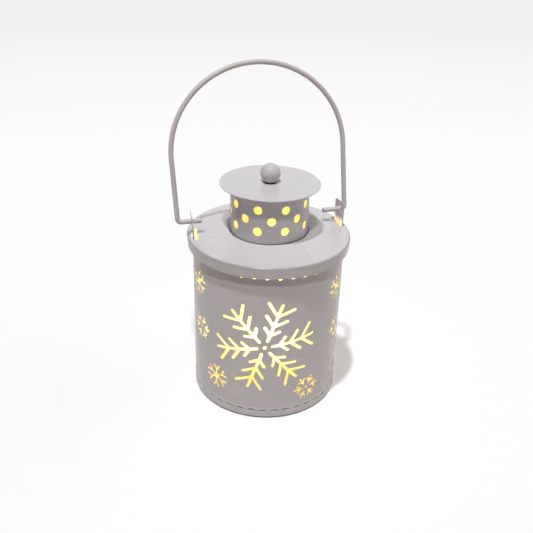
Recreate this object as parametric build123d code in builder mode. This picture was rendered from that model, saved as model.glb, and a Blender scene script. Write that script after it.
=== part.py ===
from build123d import *
from math import atan2, cos, degrees, hypot, radians, sin, sqrt, tan
import os

# Punched tin lantern with a light unit in its base, in millimetres.
# Z is up, the origin is the middle of the face that it stands on, and X runs along the bail's pivot.
# An azimuth is counted in degrees from -Y, the front, towards +X.

# Body wall and base pan
tin = 0.3                       # sheet thickness of the wall, lid and chimney
pan_tin = 0.5                   # sheet thickness of the base pan
body_radius = 37.5              # outside of the wall
wall_top = 86.2                 # top edge of the wall above the floor
pan_fit = 0.05                  # gap between the wall's foot and the pan's rim
pan_proud = 0.2                 # the rim stands out from the wall above it
pan_rim_height = 6.2
pan_opening_radius = 17.0       # service opening under the light unit
pan_edge_fillet = 0.8
pan_taper = 1.0                 # height over which the rim thins to lie flush
stake_count = 40                # dents that lock the pan's rim to the wall
stake_azimuth = -25.8
stake_height = 4.4
stake_length = 3.6
stake_width = 1.5
stake_depth = 0.4
lap_width = 3.6                 # lap seam down the back of the wall
lap_thickness = 0.3
lap_azimuth = 161.3
lap_end_gap = 0.4               # between the seam's ends and the pan and lid

# Row of vent holes under the lid
vent_count = 39
vent_radius = 1.6
vent_drop = 5.5                 # hole centres below the wall's top edge
vent_azimuth = -16.2
vent_slope = 0.3                # the row runs this much off level to each side

# Ears of the wall, which carry the bail
ear_width = 9.5
ear_rise = 11.6                 # above the wall's top edge
ear_setback = 3.5               # ears stand a little behind the middle
ear_corner = 1.2
ear_hole_rise = 7.45            # bail pivot above the wall's top edge
ear_hole_gap = 0.4              # play of the wire in its hole
ear_step = 1.2                  # the right ear is set outwards under the lid
ear_step_drop = 3.7             # foot of that step below the wall's top edge
ear_flare = 4.5                 # the left ear leans outwards

# Snowflakes punched through the wall
flake_azimuth = -16.7
flake_sets = ((0, 0), (-127, 1.2), (127, -1.2))          # azimuth from the first flake and rise
sheet_end = 180                 # the punched sheet stops at the seam, this far from the first flake
flake_arms = 6
punch_depth = 3.0               # reach of the punch on each side of the wall's outside
big_height = 42.3               # middle of the flake above the floor
big_turn = 11.2                 # direction of the first arm
big_bar = 1.4
big_arm_start = 3.4
big_arm_end = 25.25
big_branch_angle = 49.5
big_branches = ((7.5, 5.6), (12.6, 7.6), (18.3, 9.3))    # root along the arm and length
big_dot_radius = 0.8
fork_bar = 1.0                  # small flake with forked arms that meet
fork_turn = 28.5
fork_root = 3.6
fork_tip = (6.5, 1.9)
fork_hub_radius = 1.5
fork_places = ((65.1, 65.7), (-39.6, 18.9))              # azimuth from the big flake and height
feather_bar = 0.9               # small flake with separate feathered arms
feather_turn = 4.5
feather_start = 2.1
feather_end = 7.2
feather_root = 3.5
feather_tip = (5.5, 2.1)
feather_dot_radius = 0.65
feather_places = ((69.3, 41.2), (34.8, 15.2))

# Lid
lid_overhang = 2.8              # lid's outside beyond the wall
lid_seat_gap = 0.15             # between the wall's top edge and the lid
lid_rise = 1.85                 # from the lid's edge to the chimney's seat
lid_edge_fillet = 0.8
skirt_height = 5.45
skirt_draw_in = 0.4             # the skirt narrows towards its lower edge
slot_length = 12.0              # slots that the ears pass through
left_slot_gaps = (1.8, 0.8)     # inside and outside the ear
right_slot_gaps = (1.4, 0.5)

# Chimney, cap and knob
chimney_radius = 19.1
chimney_height = 23.3
chimney_seat_width = 1.1        # level ring on the lid outside the chimney
collar_height = 2.4             # drawn collar of the lid inside the chimney
collar_fit = 0.05
dot_count = 9
dot_radius = 2.1
dot_first_row = 5.95            # lowest row above the chimney's foot
dot_row_pitch = 5.35
dot_azimuth = -12.5             # middle row; the rows above and below are half a step on
cap_radius = 24.3
cap_thickness = 0.6
cap_edge_fillet = 0.2
cap_spigot_height = 1.5
knob_radius = 4.8
knob_flat = 0.3                 # cut from the ball's underside
screw_radius = 1.1
screw_depth = 5.5               # of the screw in the ball
screw_head_radius = 2.4
screw_head_height = 1.6
screw_head_round = 0.5
screw_slot = 0.6
thread_fit = 0.03
hole_fit = 0.1
washer_radius = 3.5
washer_thickness = 0.5

# Bail
wire_radius = 1.2
bail_rim_gap = 1.0              # legs clear of the lid's edge when the bail is centred
bail_leg = 31.7                 # pivot to the start of the arch
bail_arch = 40.8                # height of the arch
bail_bend = 1.8                 # of the wire's middle at its corners
bail_end = 11.5                 # inturned end, from the middle of the leg
bail_side_play = -1.9           # the bail lies over towards -X in its ears
bail_skew = 2.2                 # bent out of square, crown towards -X
bail_lean = 10.0                # leans back from upright

# Diffuser films
film_thickness = 0.3
film_gap = 0.1
film_top = 77.0
film_end_gap = 0.2              # between the chimney's film and the collar and spigot

# Light unit
pad_thickness = 0.8
pad_width = 2.4
pad_inset = 0.2
cup_radius = 20.0
cup_wall = 1.2
cup_top = 24.0
cup_edge_fillet = 1.5
dish_rim = 2.4                  # width of the cup's level rim
dish_depth = 2.0
dish_floor_radius = 8.2
flame_neck_radius = 6.0
flame_neck_length = 2.6
flame_flange = 1.2
flame_flange_thickness = 1.0
flame_wall = 1.0
flame_fit = 0.1
flame_height = 22.0             # above the flange
flame_belly = 0.9               # belly beyond the neck
flame_belly_at = 0.24           # of the flame's height
flame_shoulder = 0.72           # of the neck's radius
flame_shoulder_at = 0.62
flame_tip_wall = 2.5
unit_fit = 0.15                 # unit's base in the cup
unit_top = 9.0
post_radius = 3.4               # carries the lamp
post_bore = 1.9
post_top = 28.5
lead_window_width = 4.2
lead_window_height = 3.6
lamp_radius = 2.5
lamp_flange = 0.4
lamp_flange_thickness = 1.0
lamp_barrel = 5.1
lead_radius = 0.25
lead_pitch = 2.54
lead_bend = 0.8
lead_rise = 2.2                 # above the unit's base, where the leads turn towards the contacts
boss_radius = 3.4
boss_inset = 3.2                # from the inside of the cup's wall
boss_turn = 18.7                # towards the back from the bail's axis
boss_screw_radius = 1.1
boss_screw_depth = 7.0
boss_head_radius = 2.2
boss_head_height = 1.5
boss_head_sink = 0.3
boss_head_gap = 0.2

# Battery, contacts, door and switch
cell_radius = 10.0
cell_thickness = 3.2
cell_cap_radius = 8.6
cell_cap_height = 0.6
cell_y = -3.5
cell_gap = 0.05
well_gap = 0.3
well_height = 4.4
door_radius = 12.0
door_thickness = 1.6
door_gap = 0.1
door_side_gap = 0.2
door_slot = (12.0, 1.8, 0.8)
lug_reach = 1.4
lug_thickness = 0.8
lug_arc = 36.0
lug_travel = 50.0
notch_arc = 42.0
contact_thickness = 0.3
contact_width = 4.0
contact_rise = 3.0              # contact legs above the unit's base
contact_gap = 0.4               # slots in the base round the contacts
contact_reach = 4.0             # leg of the top contact from the lamp's middle
contact_tongue = 5.6
knob_y = 14.0
knob_length = 4.0
knob_width = 2.6
knob_travel = 2.0
knob_gap = 0.2
knob_flange = 1.4
knob_flange_thickness = 1.0
knob_proud = 0.5

# Worked out from the above
wall_inside = body_radius - tin
pan_radius = body_radius + pan_proud
pan_inside = pan_radius - pan_tin
foot_radius = pan_inside - pan_fit
foot_top = pan_rim_height + pan_fit
ledge = foot_top + tin
vent_height = wall_top - vent_drop
ear_top = wall_top + ear_rise
ear_step_foot = wall_top - ear_step_drop
ear_hole_radius = wire_radius + ear_hole_gap
bail_height = wall_top + ear_hole_rise
big_arm_middle = (big_arm_start + big_arm_end) / 2
lid_radius = body_radius + lid_overhang
seat_radius = chimney_radius + chimney_seat_width
lid_slope = lid_rise / (lid_radius - seat_radius)
lid_tin = tin * sqrt(1 + lid_slope**2)
lid_edge = wall_top + lid_seat_gap + lid_tin - lid_slope * lid_overhang
skirt_bottom = lid_edge - skirt_height
skirt_radius = lid_radius - skirt_draw_in
chimney_foot = lid_edge + lid_rise
chimney_inside = chimney_radius - tin
collar_radius = chimney_inside - collar_fit
cap_bottom = chimney_foot + chimney_height
cap_top = cap_bottom + cap_thickness
washer_bottom = cap_bottom - washer_thickness
knob_middle = cap_top + knob_radius - knob_flat
bail_half_width = lid_radius + bail_rim_gap + wire_radius
film_radius = wall_inside - film_gap
chimney_film_bottom = chimney_foot + collar_height + film_end_gap
chimney_film_top = cap_bottom - cap_spigot_height - film_end_gap
unit_bottom = pan_tin + pad_thickness
cup_inside = cup_radius - cup_wall
dish_floor = cup_top - dish_depth
cup_roof = dish_floor - cup_wall
flame_foot = dish_floor + flame_flange_thickness
unit_radius = cup_inside - unit_fit
door_bottom = unit_bottom + door_gap
door_top = door_bottom + door_thickness
recess_top = door_top + door_gap
lug_bottom = door_top - lug_thickness
lug_radius = door_radius + lug_reach
groove_radius = lug_radius + door_side_gap
well_radius = cell_radius + well_gap
cell_bottom = door_top + cell_gap
cell_top = cell_bottom + cell_thickness
side_contact_y = cell_y + cell_radius + cell_gap
contact_top_z = unit_top + contact_rise
lead_turn = unit_top + lead_rise


def wall_plane(radius, azimuth, height):
    """Plane that touches a round wall at one place and looks outwards."""
    angle = radians(azimuth)
    outward = Vector(sin(angle), -cos(angle), 0)
    along = Vector(cos(angle), sin(angle), 0)
    return Plane(origin=outward * radius + Vector(0, 0, height), x_dir=along, z_dir=outward)


def wall_ring(radius, azimuth, count, height):
    """Planes spaced evenly round a wall, the first at the azimuth given."""
    return [wall_plane(radius, azimuth + i * 360 / count, height) for i in range(count)]


def turned(point, angle):
    """A point of the plane, turned about the origin."""
    x, y = point
    c = cos(radians(angle))
    s = sin(radians(angle))
    return (x * c - y * s, x * s + y * c)


def bar(start, end, width):
    """Bar with round ends, from tip to tip."""
    run = end[0] - start[0]
    rise = end[1] - start[1]
    with Locations((start[0] + run / 2, start[1] + rise / 2)):
        SlotOverall(hypot(run, rise), width, rotation=degrees(atan2(rise, run)))


def sector(radius, middle, arc):
    """Slice of a disc about the origin."""
    with BuildLine() as outline:
        edge = CenterArc((0, 0), radius, middle - arc / 2, arc)
        Line((0, 0), edge @ 0)
        Line(edge @ 1, (0, 0))
    make_face(outline.edges())


boss_places = [turned((cup_inside - boss_inset, 0), angle) for angle in (boss_turn, 180 - boss_turn)]

# Punch for the snowflakes: big ones, whose arms each lie square to the wall, and small ones round them


def flake_planes(places):
    """Planes on the wall for a flake of every set, as far as the sheet goes."""
    spots = [(turn + azimuth, rise + height) for turn, rise in flake_sets for azimuth, height in places]
    on_sheet = [(azimuth, height) for azimuth, height in spots if abs(azimuth) < sheet_end]
    return [wall_plane(body_radius, flake_azimuth + azimuth, height) for azimuth, height in on_sheet]


with BuildPart() as flake_punch:
    for arm in range(flake_arms):
        direction = big_turn + arm * 360 / flake_arms
        across, up = turned((big_arm_middle, 0), direction)
        arm_place = (degrees(across / body_radius), big_height + up)
        with BuildSketch(*flake_planes([arm_place])):
            with PolarLocations(0, 1, start_angle=direction):
                bar((big_arm_start - big_arm_middle, 0), (big_arm_end - big_arm_middle, 0), big_bar)
                for root, length in big_branches:
                    foot = root - big_arm_middle
                    for side in (-big_branch_angle, big_branch_angle):
                        tip = turned((length, 0), side)
                        bar((foot, 0), (foot + tip[0], tip[1]), big_bar)
        extrude(amount=punch_depth, both=True)
    with BuildSketch(*flake_planes([(0, big_height)])):
        Circle(big_dot_radius)
    extrude(amount=punch_depth, both=True)
    with BuildSketch(*flake_planes(fork_places)):
        Circle(fork_hub_radius)
        with PolarLocations(0, flake_arms, start_angle=fork_turn):
            bar((0, 0), (fork_root + fork_bar, 0), fork_bar)
            for side in (-1, 1):
                bar((fork_root, 0), (fork_tip[0], side * fork_tip[1]), fork_bar)
    extrude(amount=punch_depth, both=True)
    with BuildSketch(*flake_planes(feather_places)):
        Circle(feather_dot_radius)
        with PolarLocations(0, flake_arms, start_angle=feather_turn):
            bar((feather_start, 0), (feather_end, 0), feather_bar)
            for side in (-1, 1):
                bar((feather_root, 0), (feather_tip[0], side * feather_tip[1]), feather_bar)
    extrude(amount=punch_depth, both=True)

# Body wall with its ears, lap seam and punched openings


def ear(inner, outer, reach):
    """Ear cut from a turned sheet, given its inside and outside lines from foot to top."""
    with BuildPart() as tab:
        with BuildSketch(Plane.XZ):
            with BuildLine() as section:
                Polyline(*inner, *reversed(outer), close=True)
            make_face(section.edges())
        revolve(axis=Axis.Z)
        with BuildSketch(Plane.YZ) as outline:
            with Locations((ear_setback, ear_top)):
                Rectangle(ear_width, ear_top, align=(Align.CENTER, Align.MAX))
            fillet(outline.vertices().group_by(Axis.Y)[-1], ear_corner)
        extrude(amount=reach, mode=Mode.INTERSECT)
    return tab.part


flare = ear_rise * tan(radians(ear_flare))
left_ear = ear(
    ((wall_inside, wall_top), (wall_inside + flare, ear_top)),
    ((body_radius, wall_top), (body_radius + flare, ear_top)),
    -2 * lid_radius,
)
step_top = ear_step_foot + ear_step
right_ear = ear(
    ((wall_inside, ear_step_foot), (wall_inside + ear_step, step_top), (wall_inside + ear_step, ear_top)),
    ((body_radius, ear_step_foot), (body_radius + ear_step, step_top), (body_radius + ear_step, ear_top)),
    2 * lid_radius,
)

with BuildPart() as body_shell:
    with BuildSketch(Plane.XZ):
        with BuildLine():
            Polyline(
                (foot_radius, pan_tin),
                (foot_radius, foot_top),
                (body_radius, foot_top),
                (body_radius, wall_top),
                (wall_inside, wall_top),
                (wall_inside, ledge),
                (foot_radius - tin, ledge),
                (foot_radius - tin, pan_tin),
                close=True,
            )
        make_face()
    revolve(axis=Axis.Z)
    with Locations((0, ear_setback, ear_step_foot)):
        Box(
            lid_radius,
            ear_width,
            ear_step_drop,
            align=(Align.MIN, Align.CENTER, Align.MIN),
            mode=Mode.SUBTRACT,
        )
    add(left_ear)
    add(right_ear)
    with Locations((0, ear_setback, bail_height)):
        Cylinder(ear_hole_radius, 2 * lid_radius, rotation=(0, 90, 0), mode=Mode.SUBTRACT)
    with BuildSketch(Plane.XY.offset(pan_rim_height + lap_end_gap)):
        Circle(body_radius + lap_thickness)
        Circle(body_radius - tin / 2, mode=Mode.SUBTRACT)
        with Locations(turned((0, -body_radius), lap_azimuth)):
            Rectangle(lap_width, body_radius, rotation=lap_azimuth, mode=Mode.INTERSECT)
    extrude(amount=skirt_bottom - pan_rim_height - 2 * lap_end_gap)
    for hole in range(vent_count):
        turn = hole * 360 / vent_count
        height = vent_height - vent_slope * sin(radians(turn))
        with Locations(wall_plane(body_radius, vent_azimuth + turn, height)):
            Cylinder(vent_radius, 2 * punch_depth, mode=Mode.SUBTRACT)
    add(flake_punch.part, mode=Mode.SUBTRACT)

# Base pan, whose rim goes round the wall's foot and is staked to it

with BuildPart() as base_pan:
    with BuildSketch(Plane.XZ) as pan_section:
        with BuildLine():
            Polyline(
                (pan_opening_radius, 0),
                (pan_radius, 0),
                (pan_radius, pan_rim_height - pan_taper),
                (body_radius, pan_rim_height),
                (pan_inside, pan_rim_height),
                (pan_inside, pan_tin),
                (pan_opening_radius, pan_tin),
                close=True,
            )
        make_face()
        fillet(pan_section.vertices().group_by(Axis.X)[-1].sort_by(Axis.Y)[0], pan_edge_fillet)
    revolve(axis=Axis.Z)
    with BuildSketch(*wall_ring(pan_radius, stake_azimuth, stake_count, stake_height)):
        SlotOverall(stake_length, stake_width)
    extrude(amount=-stake_depth, mode=Mode.SUBTRACT)

# Films that spread the light behind the openings, one in the body and one in the chimney

with BuildPart() as diffuser_film:
    with BuildSketch(Plane.XY.offset(ledge)):
        Circle(film_radius)
        Circle(film_radius - film_thickness, mode=Mode.SUBTRACT)
    extrude(amount=film_top - ledge)

with BuildPart() as chimney_film:
    with BuildSketch(Plane.XY.offset(chimney_film_bottom)):
        Circle(chimney_inside - film_gap)
        Circle(chimney_inside - film_gap - film_thickness, mode=Mode.SUBTRACT)
    extrude(amount=chimney_film_top - chimney_film_bottom)

# Lid with the collar for the chimney and the slots for the ears

with BuildPart() as lid_shell:
    with BuildSketch(Plane.XZ) as lid_section:
        with BuildLine():
            Polyline(
                (collar_radius, chimney_foot + collar_height),
                (collar_radius, chimney_foot),
                (seat_radius, chimney_foot),
                (lid_radius, lid_edge),
                (skirt_radius, skirt_bottom),
                (skirt_radius - tin, skirt_bottom),
                (lid_radius - tin, lid_edge - lid_tin),
                (seat_radius, chimney_foot - lid_tin),
                (collar_radius - tin, chimney_foot - lid_tin),
                (collar_radius - tin, chimney_foot + collar_height),
                close=True,
            )
        make_face()
        fillet(lid_section.vertices().sort_by_distance((lid_radius, lid_edge))[0], lid_edge_fillet)
        inner_corner = (lid_radius - tin, lid_edge - lid_tin)
        fillet(lid_section.vertices().sort_by_distance(inner_corner)[0], lid_edge_fillet - tin)
    revolve(axis=Axis.Z)
    for gaps, step, side in ((left_slot_gaps, 0, Align.MAX), (right_slot_gaps, ear_step, Align.MIN)):
        with BuildSketch(Plane.XY.offset(skirt_bottom)):
            Circle(body_radius + step + gaps[1])
            Circle(wall_inside + step - gaps[0], mode=Mode.SUBTRACT)
            with Locations((0, ear_setback)):
                Rectangle(lid_radius, slot_length, align=(side, Align.CENTER), mode=Mode.INTERSECT)
        extrude(amount=chimney_foot - skirt_bottom, mode=Mode.SUBTRACT)

# Chimney, a band of tin with three rows of dots

with BuildPart() as chimney_band:
    with BuildSketch(Plane.XY.offset(chimney_foot)):
        Circle(chimney_radius)
        Circle(chimney_inside, mode=Mode.SUBTRACT)
    extrude(amount=chimney_height)
    half_step = 180 / dot_count
    for row, shift in enumerate((half_step, 0, half_step)):
        height = chimney_foot + dot_first_row + row * dot_row_pitch
        with Locations(wall_ring(chimney_radius, dot_azimuth + shift, dot_count, height)):
            Cylinder(dot_radius, 2 * punch_depth, mode=Mode.SUBTRACT)

with BuildPart() as chimney_cap:
    with BuildSketch(Plane.XY.offset(cap_bottom)):
        Circle(cap_radius)
    extrude(amount=cap_thickness)
    fillet(chimney_cap.edges(), cap_edge_fillet)
    with BuildSketch(Plane.XY.offset(cap_bottom)):
        Circle(collar_radius)
        Circle(collar_radius - tin, mode=Mode.SUBTRACT)
    extrude(amount=-cap_spigot_height)
    with Locations((0, 0, cap_top)):
        Hole(screw_radius + hole_fit)

# Knob, held by a screw and washer from inside the chimney

with BuildPart() as knob_ball:
    with Locations((0, 0, knob_middle)):
        Sphere(knob_radius)
    split(bisect_by=Plane.XY.offset(cap_top), keep=Keep.TOP)
    with BuildSketch(Plane.XY.offset(cap_top)):
        Circle(screw_radius + thread_fit)
    extrude(amount=screw_depth + hole_fit, mode=Mode.SUBTRACT)

with BuildPart() as knob_washer:
    with BuildSketch(Plane.XY.offset(washer_bottom)):
        Circle(washer_radius)
        Circle(screw_radius + hole_fit, mode=Mode.SUBTRACT)
    extrude(amount=washer_thickness)

with BuildPart() as knob_screw:
    with BuildSketch(Plane.XY.offset(washer_bottom - screw_head_height)):
        Circle(screw_head_radius)
    extrude(amount=screw_head_height)
    fillet(knob_screw.edges().group_by(Axis.Z)[0], screw_head_round)
    with BuildSketch(Plane.XY.offset(washer_bottom)):
        Circle(screw_radius)
    extrude(amount=cap_top + screw_depth - washer_bottom)
    with Locations((0, 0, washer_bottom - screw_head_height)):
        Box(2 * screw_head_radius, screw_slot, screw_head_height, mode=Mode.SUBTRACT)

# Bail of round wire, drawn in the plane that it leans in

lean = radians(bail_lean)
bail_plane = Plane(origin=(0, ear_setback, bail_height), x_dir=(1, 0, 0), z_dir=(0, -cos(lean), sin(lean)))


def on_bail(across, up):
    """A point of the bail, measured from its middle and turned by its skew."""
    x, y = turned((across, up), bail_skew)
    return (bail_side_play + x, y)


def foot_of(spring):
    """Where a leg, run on straight from the arch, meets the pivot axis."""
    x, y = spring
    return (x + y * tan(radians(bail_skew)), 0)


left_spring = on_bail(-bail_half_width, bail_leg)
right_spring = on_bail(bail_half_width, bail_leg)
left_foot = foot_of(left_spring)
right_foot = foot_of(right_spring)

with BuildPart() as bail_handle:
    with BuildLine(bail_plane) as bail_line:
        FilletPolyline((left_foot[0] + bail_end, 0), left_foot, left_spring, radius=bail_bend)
        EllipticalCenterArc(
            on_bail(0, bail_leg),
            bail_half_width,
            bail_arch,
            180,
            arc_size=-180,
            rotation=bail_skew,
        )
        FilletPolyline(right_spring, right_foot, (right_foot[0] - bail_end, 0), radius=bail_bend)
    with BuildSketch(Plane(origin=bail_line.line @ 0, z_dir=bail_line.line % 0)):
        Circle(wire_radius)
    sweep()

# Light unit: pad, candle cup and base with the lamp's post

with BuildPart() as mounting_pad:
    with BuildSketch(Plane.XY.offset(pan_tin)):
        Circle(cup_radius - pad_inset)
        Circle(cup_radius - pad_inset - pad_width, mode=Mode.SUBTRACT)
    extrude(amount=pad_thickness)

with BuildPart() as candle_cup:
    with BuildSketch(Plane.XZ) as cup_section:
        with BuildLine():
            Polyline(
                (cup_radius, unit_bottom),
                (cup_radius, cup_top),
                (cup_radius - dish_rim, cup_top),
                (dish_floor_radius, dish_floor),
                (flame_neck_radius + flame_fit, dish_floor),
                (flame_neck_radius + flame_fit, cup_roof),
                (cup_inside, cup_roof),
                (cup_inside, unit_bottom),
                close=True,
            )
        make_face()
        fillet(cup_section.vertices().sort_by_distance((cup_radius, cup_top))[0], cup_edge_fillet)
    revolve(axis=Axis.Z)
    with BuildSketch(Plane.XY.offset(unit_top)):
        with Locations(boss_places):
            Circle(boss_radius)
    extrude(amount=cup_roof + cup_wall / 2 - unit_top)
    with BuildSketch(Plane.XY.offset(unit_top)):
        with Locations(boss_places):
            Circle(boss_screw_radius + thread_fit)
    extrude(amount=boss_screw_depth + hole_fit, mode=Mode.SUBTRACT)

with BuildPart() as candle_base:
    with BuildSketch(Plane.XY.offset(unit_bottom)):
        Circle(unit_radius)
    extrude(amount=unit_top - unit_bottom)
    with BuildSketch(Plane.XY.offset(unit_top)):
        Circle(post_radius)
        Circle(post_bore, mode=Mode.SUBTRACT)
    extrude(amount=post_top - unit_top)
    with Locations((0, 0, unit_top)):
        Box(
            lead_window_width,
            3 * post_radius,
            lead_window_height,
            align=(Align.CENTER, Align.CENTER, Align.MIN),
            mode=Mode.SUBTRACT,
        )
    # Recess, groove and notches of the battery door, then the well above it
    with BuildSketch(Plane.XY.offset(unit_bottom)):
        with Locations((0, cell_y)):
            Circle(door_radius + door_side_gap)
    extrude(amount=recess_top - unit_bottom, mode=Mode.SUBTRACT)
    with BuildSketch(Plane.XY.offset(lug_bottom - door_gap)):
        with Locations((0, cell_y)):
            Circle(groove_radius)
    extrude(amount=recess_top - lug_bottom + door_gap, mode=Mode.SUBTRACT)
    for side in (0, 180):
        with BuildSketch(Plane((0, cell_y, unit_bottom))):
            sector(groove_radius, lug_travel + side, notch_arc)
        extrude(amount=recess_top - unit_bottom, mode=Mode.SUBTRACT)
    with BuildSketch(Plane.XY.offset(recess_top)):
        with Locations((0, cell_y)):
            Circle(well_radius)
    extrude(amount=well_height, mode=Mode.SUBTRACT)
    # Slots for the contacts and the switch
    with BuildSketch(Plane.XY.offset(recess_top)):
        with Locations((0, side_contact_y + contact_thickness / 2)):
            Rectangle(contact_width + 2 * contact_gap, contact_thickness + 2 * contact_gap)
        with Locations((0, -contact_reach - contact_thickness / 2)):
            Rectangle(contact_width + 2 * contact_gap, contact_thickness + 2 * contact_gap)
    extrude(amount=unit_top - recess_top, mode=Mode.SUBTRACT)
    with BuildSketch(Plane.XY.offset(unit_bottom)):
        with Locations((0, knob_y)):
            Rectangle(knob_length + 2 * (knob_travel + knob_gap), knob_width + 2 * knob_gap)
    extrude(amount=unit_top - unit_bottom, mode=Mode.SUBTRACT)
    with BuildSketch(Plane.XY.offset(unit_bottom)):
        with Locations(boss_places):
            Circle(boss_screw_radius + hole_fit)
    extrude(amount=unit_top - unit_bottom, mode=Mode.SUBTRACT)
    with BuildSketch(Plane.XY.offset(unit_bottom)):
        with Locations(boss_places):
            Circle(boss_head_radius + boss_head_gap)
    extrude(amount=boss_head_sink + boss_head_height, mode=Mode.SUBTRACT)


def base_screw(place):
    """Pan-head screw that holds the unit's base to the cup."""
    foot = (Align.CENTER, Align.CENTER, Align.MIN)
    head_bottom = unit_bottom + boss_head_sink
    with Locations((place[0], place[1], head_bottom)):
        Cylinder(boss_head_radius, boss_head_height, align=foot)
        Cylinder(boss_screw_radius, unit_top + boss_screw_depth - head_bottom, align=foot)
        Box(2 * boss_head_radius, screw_slot, boss_head_height, mode=Mode.SUBTRACT)
        Box(screw_slot, 2 * boss_head_radius, boss_head_height, mode=Mode.SUBTRACT)


with BuildPart() as base_screw_right:
    base_screw(boss_places[0])

with BuildPart() as base_screw_left:
    base_screw(boss_places[1])

# Flame shell, lamp and its two leads

with BuildPart() as flame_tip:
    with BuildSketch(Plane.XZ):
        with BuildLine():
            inside = flame_neck_radius - flame_wall
            shoulder = flame_neck_radius * flame_shoulder
            neck_bottom = dish_floor - flame_neck_length
            outer = Spline(
                (flame_neck_radius, flame_foot),
                (flame_neck_radius + flame_belly, flame_foot + flame_belly_at * flame_height),
                (shoulder, flame_foot + flame_shoulder_at * flame_height),
                (0, flame_foot + flame_height),
            )
            inner = Spline(
                (inside, flame_foot),
                (inside + flame_belly, flame_foot + flame_belly_at * flame_height),
                (shoulder - flame_wall, flame_foot + flame_shoulder_at * flame_height),
                (0, flame_foot + flame_height - flame_tip_wall),
            )
            Line(outer @ 1, inner @ 1)
            Polyline(
                inner @ 0,
                (inside, neck_bottom),
                (flame_neck_radius, neck_bottom),
                (flame_neck_radius, dish_floor),
                (flame_neck_radius + flame_flange, dish_floor),
                (flame_neck_radius + flame_flange, flame_foot),
                outer @ 0,
            )
        make_face()
    revolve(axis=Axis.Z)

with BuildPart() as led_lamp:
    with BuildSketch(Plane.XZ):
        with BuildLine():
            flange_top = post_top + lamp_flange_thickness
            barrel_top = flange_top + lamp_barrel
            Polyline(
                (0, barrel_top + lamp_radius),
                (0, post_top),
                (lamp_radius + lamp_flange, post_top),
                (lamp_radius + lamp_flange, flange_top),
                (lamp_radius, flange_top),
                (lamp_radius, barrel_top),
            )
            CenterArc((0, barrel_top), lamp_radius, 0, 90)
        make_face()
    revolve(axis=Axis.Z)


def lamp_lead(x, y):
    """Lead from the lamp down its post, turned out to a contact."""
    with BuildLine() as lead_line:
        FilletPolyline((x, 0, post_top), (x, 0, lead_turn), (x, y, lead_turn), radius=lead_bend)
    with BuildSketch(Plane(origin=lead_line.line @ 0, z_dir=lead_line.line % 0)) as section:
        Circle(lead_radius)
    sweep(section.sketch, path=lead_line.line)


with BuildPart() as top_lead:
    lamp_lead(-lead_pitch / 2, -contact_reach)

with BuildPart() as side_lead:
    lamp_lead(lead_pitch / 2, side_contact_y)

# Battery with its contacts and door, and the switch

with BuildPart() as coin_cell:
    with Locations((0, cell_y, cell_bottom)):
        Cylinder(
            cell_radius,
            cell_thickness - cell_cap_height,
            align=(Align.CENTER, Align.CENTER, Align.MIN),
        )
        Cylinder(cell_cap_radius, cell_thickness, align=(Align.CENTER, Align.CENTER, Align.MIN))

with BuildPart() as contact_top:
    with BuildSketch(Plane.YZ):
        with BuildLine():
            back = -contact_reach - contact_thickness
            Polyline(
                (back, cell_top),
                (back + contact_tongue, cell_top),
                (back + contact_tongue, cell_top + contact_thickness),
                (-contact_reach, cell_top + contact_thickness),
                (-contact_reach, contact_top_z),
                (back, contact_top_z),
                close=True,
            )
        make_face()
    extrude(amount=contact_width / 2, both=True)

with BuildPart() as contact_side:
    with BuildSketch(Plane.XY.offset(cell_bottom)):
        with Locations((0, side_contact_y + contact_thickness / 2)):
            Rectangle(contact_width, contact_thickness)
    extrude(amount=contact_top_z - cell_bottom)

with BuildPart() as battery_door:
    with BuildSketch(Plane.XY.offset(door_bottom)):
        with Locations((0, cell_y)):
            Circle(door_radius)
    extrude(amount=door_thickness)
    for side in (0, 180):
        with BuildSketch(Plane((0, cell_y, lug_bottom))):
            sector(lug_radius, side, lug_arc)
        extrude(amount=lug_thickness)
    with Locations((0, cell_y, door_bottom)):
        Box(
            door_slot[0],
            door_slot[1],
            door_slot[2],
            align=(Align.CENTER, Align.CENTER, Align.MIN),
            mode=Mode.SUBTRACT,
        )

with BuildPart() as switch_knob:
    with BuildSketch(Plane.XY.offset(unit_bottom - knob_proud)):
        with Locations((0, knob_y)):
            Rectangle(knob_length, knob_width)
    extrude(amount=unit_top + knob_gap - unit_bottom + knob_proud)
    with BuildSketch(Plane.XY.offset(unit_top + knob_gap)):
        with Locations((0, knob_y)):
            Rectangle(knob_length + 2 * knob_flange, knob_width + 2 * knob_flange)
    extrude(amount=knob_flange_thickness)

# Name and write the parts

os.makedirs("parts", exist_ok=True)

body_shell.part.label = "body_shell"
export_step(body_shell.part, "parts/body_shell.step")
base_pan.part.label = "base_pan"
export_step(base_pan.part, "parts/base_pan.step")
diffuser_film.part.label = "diffuser_film"
export_step(diffuser_film.part, "parts/diffuser_film.step")
chimney_film.part.label = "chimney_film"
export_step(chimney_film.part, "parts/chimney_film.step")
lid_shell.part.label = "lid_shell"
export_step(lid_shell.part, "parts/lid_shell.step")
chimney_band.part.label = "chimney_band"
export_step(chimney_band.part, "parts/chimney_band.step")
chimney_cap.part.label = "chimney_cap"
export_step(chimney_cap.part, "parts/chimney_cap.step")
knob_ball.part.label = "knob_ball"
export_step(knob_ball.part, "parts/knob_ball.step")
knob_washer.part.label = "knob_washer"
export_step(knob_washer.part, "parts/knob_washer.step")
knob_screw.part.label = "knob_screw"
export_step(knob_screw.part, "parts/knob_screw.step")
bail_handle.part.label = "bail_handle"
export_step(bail_handle.part, "parts/bail_handle.step")
mounting_pad.part.label = "mounting_pad"
export_step(mounting_pad.part, "parts/mounting_pad.step")
candle_cup.part.label = "candle_cup"
export_step(candle_cup.part, "parts/candle_cup.step")
candle_base.part.label = "candle_base"
export_step(candle_base.part, "parts/candle_base.step")
base_screw_right.part.label = "base_screw_right"
export_step(base_screw_right.part, "parts/base_screw_right.step")
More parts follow.
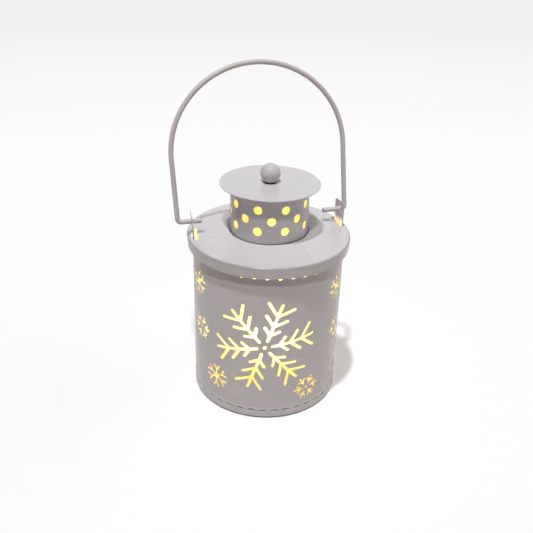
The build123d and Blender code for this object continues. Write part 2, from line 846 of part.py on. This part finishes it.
base_screw_left.part.label = "base_screw_left"
export_step(base_screw_left.part, "parts/base_screw_left.step")
flame_tip.part.label = "flame_tip"
export_step(flame_tip.part, "parts/flame_tip.step")
led_lamp.part.label = "led_lamp"
export_step(led_lamp.part, "parts/led_lamp.step")
top_lead.part.label = "top_lead"
export_step(top_lead.part, "parts/top_lead.step")
side_lead.part.label = "side_lead"
export_step(side_lead.part, "parts/side_lead.step")
coin_cell.part.label = "coin_cell"
export_step(coin_cell.part, "parts/coin_cell.step")
contact_top.part.label = "contact_top"
export_step(contact_top.part, "parts/contact_top.step")
contact_side.part.label = "contact_side"
export_step(contact_side.part, "parts/contact_side.step")
battery_door.part.label = "battery_door"
export_step(battery_door.part, "parts/battery_door.step")
switch_knob.part.label = "switch_knob"
export_step(switch_knob.part, "parts/switch_knob.step")
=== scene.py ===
# %% [markdown]
# # A punched tin lantern, lit from inside
#
# The lantern is a small round tin with snowflakes punched through its wall, a lid with a dotted chimney,
# a flat cap with a ball knob, and a wire bail. A battery candle glows behind a frosted film.
#
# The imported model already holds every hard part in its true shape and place, so this lesson keeps those
# parts and spends its time on what a camera sees: paint, film, glow, light and view.

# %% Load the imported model
from math import cos, radians, sin

import bmesh
import bpy
from mathutils import Matrix, Vector


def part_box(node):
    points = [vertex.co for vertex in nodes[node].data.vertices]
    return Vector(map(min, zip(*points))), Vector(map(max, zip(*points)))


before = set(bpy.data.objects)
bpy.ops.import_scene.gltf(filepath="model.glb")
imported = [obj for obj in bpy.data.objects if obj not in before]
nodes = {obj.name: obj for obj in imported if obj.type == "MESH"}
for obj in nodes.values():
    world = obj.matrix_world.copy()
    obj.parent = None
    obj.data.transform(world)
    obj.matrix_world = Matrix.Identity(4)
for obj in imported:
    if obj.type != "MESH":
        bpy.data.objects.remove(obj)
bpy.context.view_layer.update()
MM = 0.001
print("nodes in the frame:", len(nodes))

# %% [markdown]
# ## Small helpers
#
# Colours are written as sRGB hex, the way that a paint chart or an image editor shows them. Blender's
# sockets want linear light, so one function converts them. A second one adds a node to a material, sets its
# properties and fills or links its inputs, which keeps each finish readable from top to bottom. The others
# start a material, read a height, tell rays that show the background from rays that light the object, and
# hand out a finish.

# %% Colour and node helpers
def linear(hex_colour):
    """Turn a colour such as #CCC9CE into the linear red, green, blue and alpha of a socket."""
    channels = [int(hex_colour[i:i + 2], 16) / 255 for i in (1, 3, 5)]
    return tuple(c / 12.92 if c <= 0.04045 else ((c + 0.055) / 1.055) ** 2.4 for c in channels) + (1.0,)


def add(owner, kind, inputs=None, **settings):
    """Add a node to a material or world. An input is a plain value, or an output to link from."""
    node = owner.node_tree.nodes.new(kind)
    for name, value in settings.items():
        setattr(node, name, value)
    for socket, value in (inputs or {}).items():
        if isinstance(value, bpy.types.NodeSocket):
            owner.node_tree.links.new(value, node.inputs[socket])
        else:
            node.inputs[socket].default_value = value
    return node


def blank(name):
    """A material with an empty node tree."""
    material = bpy.data.materials.new(name)
    material.use_nodes = True
    material.node_tree.nodes.clear()
    return material


def height_of(owner, place):
    """Height of a point above the lantern's foot."""
    return add(owner, "ShaderNodeSeparateXYZ", {"Vector": place}).outputs["Z"]


def in_view(owner):
    """1 for rays that show the background itself: straight, mirrored or through the film."""
    path = add(owner, "ShaderNodeLightPath").outputs
    seen = add(owner, "ShaderNodeMath", {0: path["Is Camera Ray"], 1: path["Is Glossy Ray"]},
               operation="MAXIMUM")
    seen = add(owner, "ShaderNodeMath", {0: seen.outputs["Value"], 1: path["Is Transmission Ray"]},
               operation="MAXIMUM")
    return seen.outputs["Value"]


def give(material, *names):
    """Put a finish into the material slots of CAD nodes."""
    for name in names:
        for slot in nodes[name].material_slots:
            slot.material = material
    print(material.name, "on", ", ".join(names))


print("lilac grey in linear light:", [round(c, 3) for c in linear("#CCC9CE")])

# %% [markdown]
# ## Satin paint on tin
#
# The tin is sprayed with a satin lilac grey powder coat. Such a coat flows out before it sets, so it is
# smooth but not flat: a faint orange peel about a millimetre across softens every reflection. The colour
# drifts a little where the coat is thicker. One noise makes the peel, through a bump of a few hundredths
# of a millimetre, and a broader one drives the tint and the gloss. Noise that reads Object coordinates
# runs through all the tin parts without a seam.
#
# Shade is painted into the coat's colour as dark lines: painted shade in the crease round the chimney's foot,
# a painted contact shadow round the knob, and painted shade over the lid's edge, along the pan's bottom edge
# and in the dents that lock the pan's rim. The lines lie where the photograph shows dark lines, and how dark
# each one is was chosen to follow it.
#
# Three functions say how much shade is painted there, from 0, darkest, to 1, none, by the distance to the
# axis and the height. A fourth takes the darker of two.

# %% Where shade is painted into the coat
# All in millimetres: four sizes listed, then those that the boxes of the parts give
skirt_height = 5.45
knob_foot_radius = 2.6
dent_depth = 0.4
dent_middle = 4.1
lid_low, lid_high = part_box("lid_shell")
lid_radius, lid_edge = lid_high.y / MM, lid_low.z / MM + skirt_height
pan_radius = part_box("base_pan")[1].x / MM
chimney_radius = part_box("chimney_band")[1].x / MM


def axis_distance(coat, place):
    """Distance of a point from the lantern's axis."""
    level = add(coat, "ShaderNodeVectorMath", {0: place, 1: (1, 1, 0)}, operation="MULTIPLY")
    length = add(coat, "ShaderNodeVectorMath", {0: level.outputs["Vector"]}, operation="LENGTH")
    return length.outputs["Value"]


def darker_shade_of(coat, one, other):
    """The lesser of two painted shade masks, that is the darker shade."""
    return add(coat, "ShaderNodeMath", {0: one, 1: other}, operation="MINIMUM").outputs["Value"]


def crease(coat, place, radius_mm, darkest_until_mm=0.3, unshaded_from_mm=1.3):
    """Painted shade: darkest at the foot of a round crease, none a little further out."""
    painted_shade_mask = add(coat, "ShaderNodeMapRange", {"Value": axis_distance(coat, place),
                                             "From Min": (radius_mm + darkest_until_mm) * MM,
                                             "From Max": (radius_mm + unshaded_from_mm) * MM})
    return painted_shade_mask.outputs["Result"]


def edge(coat, place, radius_mm, height_mm, least, darkest_within_mm=0.45, unshaded_from_mm=1.0):
    """Painted shade over a round edge, down to least, and none a millimetre from it."""
    outwards = add(coat, "ShaderNodeMath", {0: axis_distance(coat, place), 1: radius_mm * MM},
                   operation="SUBTRACT")
    upwards = add(coat, "ShaderNodeMath", {0: height_of(coat, place), 1: height_mm * MM},
                  operation="SUBTRACT")
    offset = add(coat, "ShaderNodeCombineXYZ", {"X": outwards.outputs["Value"],
                                                "Z": upwards.outputs["Value"]})
    reach = add(coat, "ShaderNodeVectorMath", {0: offset.outputs["Vector"]}, operation="LENGTH")
    painted_shade_mask = add(coat, "ShaderNodeMapRange", {"Value": reach.outputs["Value"], "From Min": darkest_within_mm * MM,
                                             "From Max": unshaded_from_mm * MM, "To Min": least})
    return painted_shade_mask.outputs["Result"]


def dents(coat, place, least=0.45, lip_mm=0.1):
    """Painted shade in the upper half of each dent in the pan's rim."""
    depth = add(coat, "ShaderNodeMapRange", {"Value": axis_distance(coat, place),
                                             "From Min": (pan_radius - dent_depth) * MM,
                                             "From Max": (pan_radius - lip_mm) * MM, "To Min": least})
    below = add(coat, "ShaderNodeMath", {0: height_of(coat, place), 1: dent_middle * MM},
                operation="LESS_THAN")
    painted_shade_mask = add(coat, "ShaderNodeMath", {0: depth.outputs["Result"], 1: below.outputs["Value"]},
                operation="MAXIMUM")
    return painted_shade_mask.outputs["Value"]


def lid_painted_shade(coat, place):
    """The lid: painted shade at the chimney's foot and over its edge."""
    return darker_shade_of(coat, crease(coat, place, chimney_radius),
                   edge(coat, place, lid_radius, lid_edge, least=0.6))


def cap_painted_shade(coat, place):
    """The cap: a painted contact shadow round the knob's foot."""
    return crease(coat, place, knob_foot_radius)


def pan_painted_shade(coat, place):
    """The pan: painted shade in its dents and along its bottom edge."""
    return darker_shade_of(coat, dents(coat, place), edge(coat, place, pan_radius, 0, least=0.0))


print("lid's edge, mm:", round(lid_radius, 2), round(lid_edge, 2))

# %% Powder coat of the tin and the wire
def powder_coat(name, light, dark, peel_mm, cloud_mm, roughness, painted_shade_mask=None):
    """Satin paint. The last argument, if given, is a function that says where shade is painted into the
    colour.
    """
    coat = blank(name)
    place = add(coat, "ShaderNodeTexCoord").outputs["Object"]
    peel = add(coat, "ShaderNodeTexNoise", {"Vector": place, "Scale": 1 / (peel_mm * MM), "Detail": 2.0})
    cloud = add(coat, "ShaderNodeTexNoise", {"Vector": place, "Scale": 1 / (cloud_mm * MM), "Detail": 1.0})
    # A Mix node holds a set of sockets for each data type: 0 is the factor, 6 and 7 are its colours
    tint = add(coat, "ShaderNodeMix", {0: cloud.outputs["Fac"], 6: linear(dark), 7: linear(light)},
               data_type="RGBA")
    if painted_shade_mask:
        # Painted shade: the colour turns towards near black where the mask falls below 1
        tint = add(coat, "ShaderNodeMix", {0: painted_shade_mask(coat, place), 6: linear("#2E2B2C"),
                                           7: tint.outputs[2]}, data_type="RGBA")
    gloss = add(coat, "ShaderNodeMapRange", {"Value": cloud.outputs["Fac"], "From Min": 0.3,
                                             "From Max": 0.7, "To Min": roughness - 0.02,
                                             "To Max": roughness + 0.02})
    bump = add(coat, "ShaderNodeBump", {"Height": peel.outputs["Fac"], "Strength": 0.2,
                                        "Distance": 0.03 * MM})
    shader = add(coat, "ShaderNodeBsdfPrincipled", {"Base Color": tint.outputs[2], "IOR": 1.5,
                                                    "Roughness": gloss.outputs["Result"],
                                                    "Normal": bump.outputs["Normal"]})
    add(coat, "ShaderNodeOutputMaterial", {"Surface": shader.outputs["BSDF"]})
    return coat


lilac = {"light": "#CCC9CE", "dark": "#CAC6CB", "peel_mm": 1.1, "cloud_mm": 20, "roughness": 0.26}
matt_lilac = {"light": "#C7C1C4", "dark": "#C1BBBE", "peel_mm": 0.8, "cloud_mm": 8, "roughness": 0.5}
give(powder_coat("powder_coated_tin", **lilac), "body_shell", "chimney_band")
give(powder_coat("powder_coated_pan", painted_shade_mask=pan_painted_shade, **lilac), "base_pan")
give(powder_coat("powder_coated_lid", painted_shade_mask=lid_painted_shade, **lilac), "lid_shell")
give(powder_coat("powder_coated_cap", painted_shade_mask=cap_painted_shade, **lilac), "chimney_cap")
give(powder_coat("powder_coated_wire", **matt_lilac), "bail_handle", "knob_ball")

# %% [markdown]
# ## Frosted film that carries the glow
#
# Behind the openings stands a sleeve of frosted amber film. On the real lantern the lamp lights it from
# behind, so it glows evenly and a soft bright patch shows where the lamp lies straight behind it. The even
# glow is painted light: an emission in place of the lamp's light on the film, running from gold near the
# floor to a paler band above the lamp's height. The patch comes by itself: the film also lets light through
# with a rough surface, so the shining flame shows through, blurred.

# %% Amber film of the body and the chimney
def amber_film(name, low_mm, high_mm, stops, strength):
    """Film with a painted glow. The stops give the glow's colour at shares of the height between low_mm and
    high_mm.
    """
    film = blank(name)
    place = add(film, "ShaderNodeTexCoord").outputs["Object"]
    rise = add(film, "ShaderNodeMapRange", {"Value": height_of(film, place), "From Min": low_mm * MM,
                                            "From Max": high_mm * MM})
    ramp = add(film, "ShaderNodeValToRGB", {"Fac": rise.outputs["Result"]})
    elements = ramp.color_ramp.elements
    elements[0].position, elements[1].position = stops[0][0], stops[-1][0]
    elements[0].color, elements[1].color = linear(stops[0][1]), linear(stops[-1][1])
    for position, colour in stops[1:-1]:
        elements.new(position).color = linear(colour)
    # Frosting has a grain of about 2 mm that shows as a faint mottle in the glow
    grain = add(film, "ShaderNodeTexNoise", {"Vector": place, "Scale": 1 / (2.2 * MM), "Detail": 4.0})
    mottle = add(film, "ShaderNodeMapRange", {"Value": grain.outputs["Fac"], "From Min": 0.3,
                                              "From Max": 0.7, "To Min": 0.88 * strength,
                                              "To Max": 1.08 * strength})
    shader = add(film, "ShaderNodeBsdfPrincipled", {"Base Color": linear("#FAF2C4"), "Roughness": 0.55,
                                                    "IOR": 1.4, "Transmission Weight": 0.6,
                                                    "Emission Color": ramp.outputs["Color"],
                                                    "Emission Strength": mottle.outputs["Result"]})
    add(film, "ShaderNodeOutputMaterial", {"Surface": shader.outputs["BSDF"]})
    return film


body_glow = ((0.05, "#F4D062"), (0.35, "#FFDE64"), (0.65, "#FFF0B0"), (1.0, "#FFDE64"))
flue_glow = ((0.0, "#FFEA7E"), (1.0, "#FFE06C"))
give(amber_film("frosted_amber_film", 0, 77, body_glow, strength=0.28), "diffuser_film")
give(amber_film("frosted_amber_flue_film", 88, 112, flue_glow, strength=0.25), "chimney_film")

# %% [markdown]
# ## Flame and lamp
#
# The candle's flame is a hollow frosted plastic drop over a small resin lamp. The lamp sits at about half
# of the drop's height, so the drop is brightest there and fades towards its neck and tip. The distance from
# the lamp's middle, in Object coordinates, drives the strength.

# %% Frosted flame and warm lamp resin
lamp_low, lamp_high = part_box("led_lamp")
lamp_middle = (lamp_low + lamp_high) / 2
flame = blank("frosted_flame_polypropylene")
place = add(flame, "ShaderNodeTexCoord").outputs["Object"]
reach = add(flame, "ShaderNodeVectorMath", {0: place, 1: tuple(lamp_middle)}, operation="DISTANCE")
fade = add(flame, "ShaderNodeMapRange", {"Value": reach.outputs["Value"], "From Min": 5 * MM,
                                         "From Max": 15 * MM, "To Min": 60.0, "To Max": 14.0})
grain = add(flame, "ShaderNodeTexNoise", {"Vector": place, "Scale": 1 / (0.6 * MM), "Detail": 2.0})
bump = add(flame, "ShaderNodeBump", {"Height": grain.outputs["Fac"], "Strength": 0.3, "Distance": 0.05 * MM})
shader = add(flame, "ShaderNodeBsdfPrincipled", {"Base Color": linear("#FBEBC4"), "Roughness": 0.5,
                                                 "IOR": 1.49, "Transmission Weight": 0.3,
                                                 "Emission Color": linear("#FFF6CC"),
                                                 "Emission Strength": fade.outputs["Result"],
                                                 "Normal": bump.outputs["Normal"]})
add(flame, "ShaderNodeOutputMaterial", {"Surface": shader.outputs["BSDF"]})

resin = blank("warm_lamp_epoxy")
place = add(resin, "ShaderNodeTexCoord").outputs["Object"]
swirl = add(resin, "ShaderNodeTexNoise", {"Vector": place, "Scale": 1 / (1.5 * MM), "Detail": 1.0})
glow = add(resin, "ShaderNodeMapRange", {"Value": swirl.outputs["Fac"], "To Min": 3.0, "To Max": 5.0})
shader = add(resin, "ShaderNodeBsdfPrincipled", {"Base Color": linear("#FFE9B0"), "Roughness": 0.12,
                                                 "IOR": 1.55, "Transmission Weight": 0.7,
                                                 "Emission Color": linear("#FFEFC0"),
                                                 "Emission Strength": glow.outputs["Result"]})
add(resin, "ShaderNodeOutputMaterial", {"Surface": shader.outputs["BSDF"]})
give(flame, "flame_tip")
give(resin, "led_lamp")
print("lamp's middle, mm:", [round(c / MM, 1) for c in lamp_middle])

# %% [markdown]
# ## Moulded plastics of the light unit
#
# The cup is ivory, the case white and the switch black, all moulded with a fine spark-eroded texture that
# takes the gloss off. A grain of about half a millimetre in bump and a slight drift in colour do that.

# %% Moulded plastics
def moulded(name, light, dark, roughness, grain_mm):
    """Plastic from a spark-eroded mould."""
    plastic = blank(name)
    place = add(plastic, "ShaderNodeTexCoord").outputs["Object"]
    spark = add(plastic, "ShaderNodeTexNoise", {"Vector": place, "Scale": 1 / (grain_mm * MM), "Detail": 3.0})
    drift = add(plastic, "ShaderNodeTexNoise", {"Vector": place, "Scale": 1 / (9 * MM), "Detail": 2.0})
    tint = add(plastic, "ShaderNodeMix", {0: drift.outputs["Fac"], 6: linear(dark), 7: linear(light)},
               data_type="RGBA")
    bump = add(plastic, "ShaderNodeBump", {"Height": spark.outputs["Fac"], "Strength": 0.4,
                                           "Distance": 0.04 * MM})
    shader = add(plastic, "ShaderNodeBsdfPrincipled", {"Base Color": tint.outputs[2], "Roughness": roughness,
                                                       "IOR": 1.5, "Normal": bump.outputs["Normal"]})
    add(plastic, "ShaderNodeOutputMaterial", {"Surface": shader.outputs["BSDF"]})
    return plastic


give(moulded("ivory_moulded_polypropylene", "#F6EEDD", "#F0E6D0", 0.45, 0.5), "candle_cup")
give(moulded("white_moulded_abs", "#F1F0EC", "#E9E7E1", 0.5, 0.45), "candle_base", "battery_door")
give(moulded("black_moulded_abs", "#2B2B2C", "#202021", 0.42, 0.35), "switch_knob")

# %% [markdown]
# ## Foam tape
#
# A ring of white foam tape holds the cup to the pan. Its cut edge shows open cells, so a Voronoi pattern of
# 0.4 mm cells sinks the surface between the cell walls, and painted shade darkens it a little there.

# %% Foam tape
foam = blank("white_foam_tape")
place = add(foam, "ShaderNodeTexCoord").outputs["Object"]
cells = add(foam, "ShaderNodeTexVoronoi", {"Vector": place, "Scale": 1 / (0.4 * MM)})
# Painted shade: the colour is darker in the sunk middle of each cell
tint = add(foam, "ShaderNodeMix", {0: cells.outputs["Distance"], 6: linear("#D6D5D0"), 7: linear("#F0EFEA")},
           data_type="RGBA")
bump = add(foam, "ShaderNodeBump", {"Height": cells.outputs["Distance"], "Strength": 0.6,
                                    "Distance": 0.1 * MM})
shader = add(foam, "ShaderNodeBsdfPrincipled", {"Base Color": tint.outputs[2], "Roughness": 0.9, "IOR": 1.45,
                                                "Normal": bump.outputs["Normal"]})
add(foam, "ShaderNodeOutputMaterial", {"Surface": shader.outputs["BSDF"]})
give(foam, "mounting_pad")

# %% [markdown]
# ## Bare metals
#
# Screws, washer and leads are zinc plated, the cell is nickel plated steel, and the contacts are rolled
# brass strip. A metal takes its colour from its reflection, so Metallic is 1 and the base colour is that of
# the metal. Rolling and plating leave fine lines, drawn by a noise that is squeezed along one axis.

# %% Plated and rolled metals
def bare_metal(name, light, dark, roughness, line_mm, stretch):
    """Metal with fine lines. The smallest number in stretch is along them."""
    metal = blank(name)
    place = add(metal, "ShaderNodeTexCoord").outputs["Object"]
    lengthwise = add(metal, "ShaderNodeMapping", {"Vector": place, "Scale": stretch})
    lines = add(metal, "ShaderNodeTexNoise", {"Vector": lengthwise.outputs["Vector"],
                                              "Scale": 1 / (line_mm * MM), "Detail": 3.0})
    tint = add(metal, "ShaderNodeMix", {0: lines.outputs["Fac"], 6: linear(dark), 7: linear(light)},
               data_type="RGBA")
    rough = add(metal, "ShaderNodeMapRange", {"Value": lines.outputs["Fac"], "To Min": roughness - 0.08,
                                              "To Max": roughness + 0.08})
    bump = add(metal, "ShaderNodeBump", {"Height": lines.outputs["Fac"], "Strength": 0.2,
                                         "Distance": 0.02 * MM})
    shader = add(metal, "ShaderNodeBsdfPrincipled", {"Base Color": tint.outputs[2], "Metallic": 1.0,
                                                     "Roughness": rough.outputs["Result"],
                                                     "Normal": bump.outputs["Normal"]})
    add(metal, "ShaderNodeOutputMaterial", {"Surface": shader.outputs["BSDF"]})
    return metal


give(bare_metal("zinc_plated_steel", "#D4D6D8", "#B9BCC0", 0.34, 0.5, (1, 1, 0.3)),
     "knob_screw", "knob_washer", "base_screw_right", "base_screw_left", "top_lead", "side_lead")
give(bare_metal("nickel_plated_cell_steel", "#D9D6CF", "#C4C0B8", 0.26, 0.4, (0.15, 1, 1)), "coin_cell")
give(bare_metal("rolled_spring_brass", "#E0BE6A", "#CBA654", 0.3, 0.3, (1, 0.12, 1)),
     "contact_top", "contact_side")

# %% [markdown]
# ## Floor
#
# The lantern stands on a wide white surface. One grid is enough, because the photograph looks down on it and
# sees no horizon. It lies 0.2 mm below the lantern, so that no two faces share a plane. Its white is painted
# gently darker with the distance behind the lantern: painted shade for the light falling off, as on a paper
# sweep.
#
# A real sweep is only as wide as the table, and the dark room beyond it throws little light on the walls of
# the lantern. An endless white floor would light them too much from below. So rays that show the floor see
# the white, and rays that bring its light to the object see a warm grey.

# %% White floor
floor_reach = 20.0
floor_mesh = bpy.data.meshes.new("floor")
shape = bmesh.new()
bmesh.ops.create_grid(shape, x_segments=1, y_segments=1, size=floor_reach)
bmesh.ops.translate(shape, verts=shape.verts, vec=(0, 0, -0.2 * MM))
shape.to_mesh(floor_mesh)
shape.free()
floor = bpy.data.objects.new("floor", floor_mesh)
bpy.context.scene.collection.objects.link(floor)

paper = blank("white_paper_sweep")
place = add(paper, "ShaderNodeTexCoord").outputs["Object"]
# Distances, in metres, are counted from a point on the floor in front of the lantern
near_point = (0.0, -0.3, 0.0)
dims_from, dims_until = 0.75, 1.6
distance = add(paper, "ShaderNodeVectorMath", {0: place, 1: near_point}, operation="DISTANCE")
away = add(paper, "ShaderNodeMapRange", {"Value": distance.outputs["Value"], "From Min": dims_from,
                                         "From Max": dims_until})
# Painted shade: the floor's white turns greyer far from the lantern
white = add(paper, "ShaderNodeMix", {0: away.outputs["Result"], 6: linear("#FCFCFE"), 7: linear("#F0EFEE")},
            data_type="RGBA")
tone = add(paper, "ShaderNodeMix", {0: in_view(paper), 6: linear("#C0B3A9"), 7: white.outputs[2]},
           data_type="RGBA")
matt = add(paper, "ShaderNodeBsdfDiffuse", {"Color": tone.outputs[2]})
add(paper, "ShaderNodeOutputMaterial", {"Surface": matt.outputs["BSDF"]})
floor_mesh.materials.append(paper)
print("floor, m:", floor.dimensions.x, "by", floor.dimensions.y)

# %% [markdown]
# ## Light
#
# Four distant lights do the work. A small cool key stands almost overhead, a little to the left, and throws
# the crisp shadow on the floor and that of the chimney on the lid. A small warm light from the front, lower
# down, draws the dark band under the lid's skirt and the cap's shadow on the chimney. A wide soft one low on
# the right lightens that band towards the right, and a faint one overhead fills the rest. Together they
# light a level face to about its own colour.
#
# The world adds a little from all round, but shows itself as plain white to the camera, in reflections and
# through the film, as a white studio would.

# %% Four lights and the world
def sun(name, strength, width_deg, azimuth_deg, elevation_deg, colour):
    """A distant light. Azimuth is counted from the front, -Y, towards +X."""
    lamp = bpy.data.lights.new(name, "SUN")
    lamp.energy = strength
    lamp.angle = radians(width_deg)
    lamp.color = colour
    holder = bpy.data.objects.new(name, lamp)
    across = cos(radians(elevation_deg))
    towards = Vector((across * sin(radians(azimuth_deg)), -across * cos(radians(azimuth_deg)),
                      sin(radians(elevation_deg))))
    holder.rotation_euler = towards.to_track_quat("Z", "Y").to_euler()
    bpy.context.scene.collection.objects.link(holder)
    print(name, "strength", strength)


sun("key", 1.68, 2.5, -45, 76, (0.93, 0.98, 1.0))
sun("front", 1.3, 3, -18, 64, (1.0, 0.95, 0.90))
sun("right", 0.62, 70, 89, 15, (1.0, 0.94, 0.88))
sun("fill", 0.1, 60, -20, 87, (1.0, 0.92, 0.84))

world = bpy.data.worlds.new("white_studio")
world.use_nodes = True
world.node_tree.nodes.clear()
bpy.context.scene.world = world
level = add(world, "ShaderNodeMapRange", {"Value": in_view(world), "To Min": 0.06, "To Max": 1.0})
sky = add(world, "ShaderNodeBackground", {"Color": (1, 1, 1, 1), "Strength": level.outputs["Result"]})
add(world, "ShaderNodeOutputWorld", {"Surface": sky.outputs["Background"]})

# %% [markdown]
# ## Camera
#
# The camera stands where the photograph was taken: a little left of the front, and high enough to look down
# on the lid. Its place, tilt and slight roll come from fitting the lantern's outlines.

# %% Camera at the photograph's angle
eye_distance = 0.3038056
eye_height = 0.2266204
eye_azimuth = radians(16.3)
heading_deg = -16.188
downward_deg = 27.795
roll_rad = 0.0300056
sensor_mm = 36
picture_px = 533
focal_px = 675.16
eye = Vector((-eye_distance * sin(eye_azimuth), -eye_distance * cos(eye_azimuth), eye_height))
turn = (Matrix.Rotation(radians(heading_deg), 4, "Z") @ Matrix.Rotation(radians(90 - downward_deg), 4, "X")
        @ Matrix.Rotation(roll_rad, 4, "Z"))
lens = bpy.data.cameras.new("photo_camera")
lens.sensor_width = sensor_mm
lens.lens = sensor_mm * focal_px / picture_px
camera = bpy.data.objects.new("photo_camera", lens)
camera.matrix_world = Matrix.Translation(eye) @ turn
bpy.context.scene.collection.objects.link(camera)
bpy.context.scene.camera = camera
bpy.context.scene.view_settings.view_transform = "Standard"
print("lens, mm:", round(lens.lens, 2))
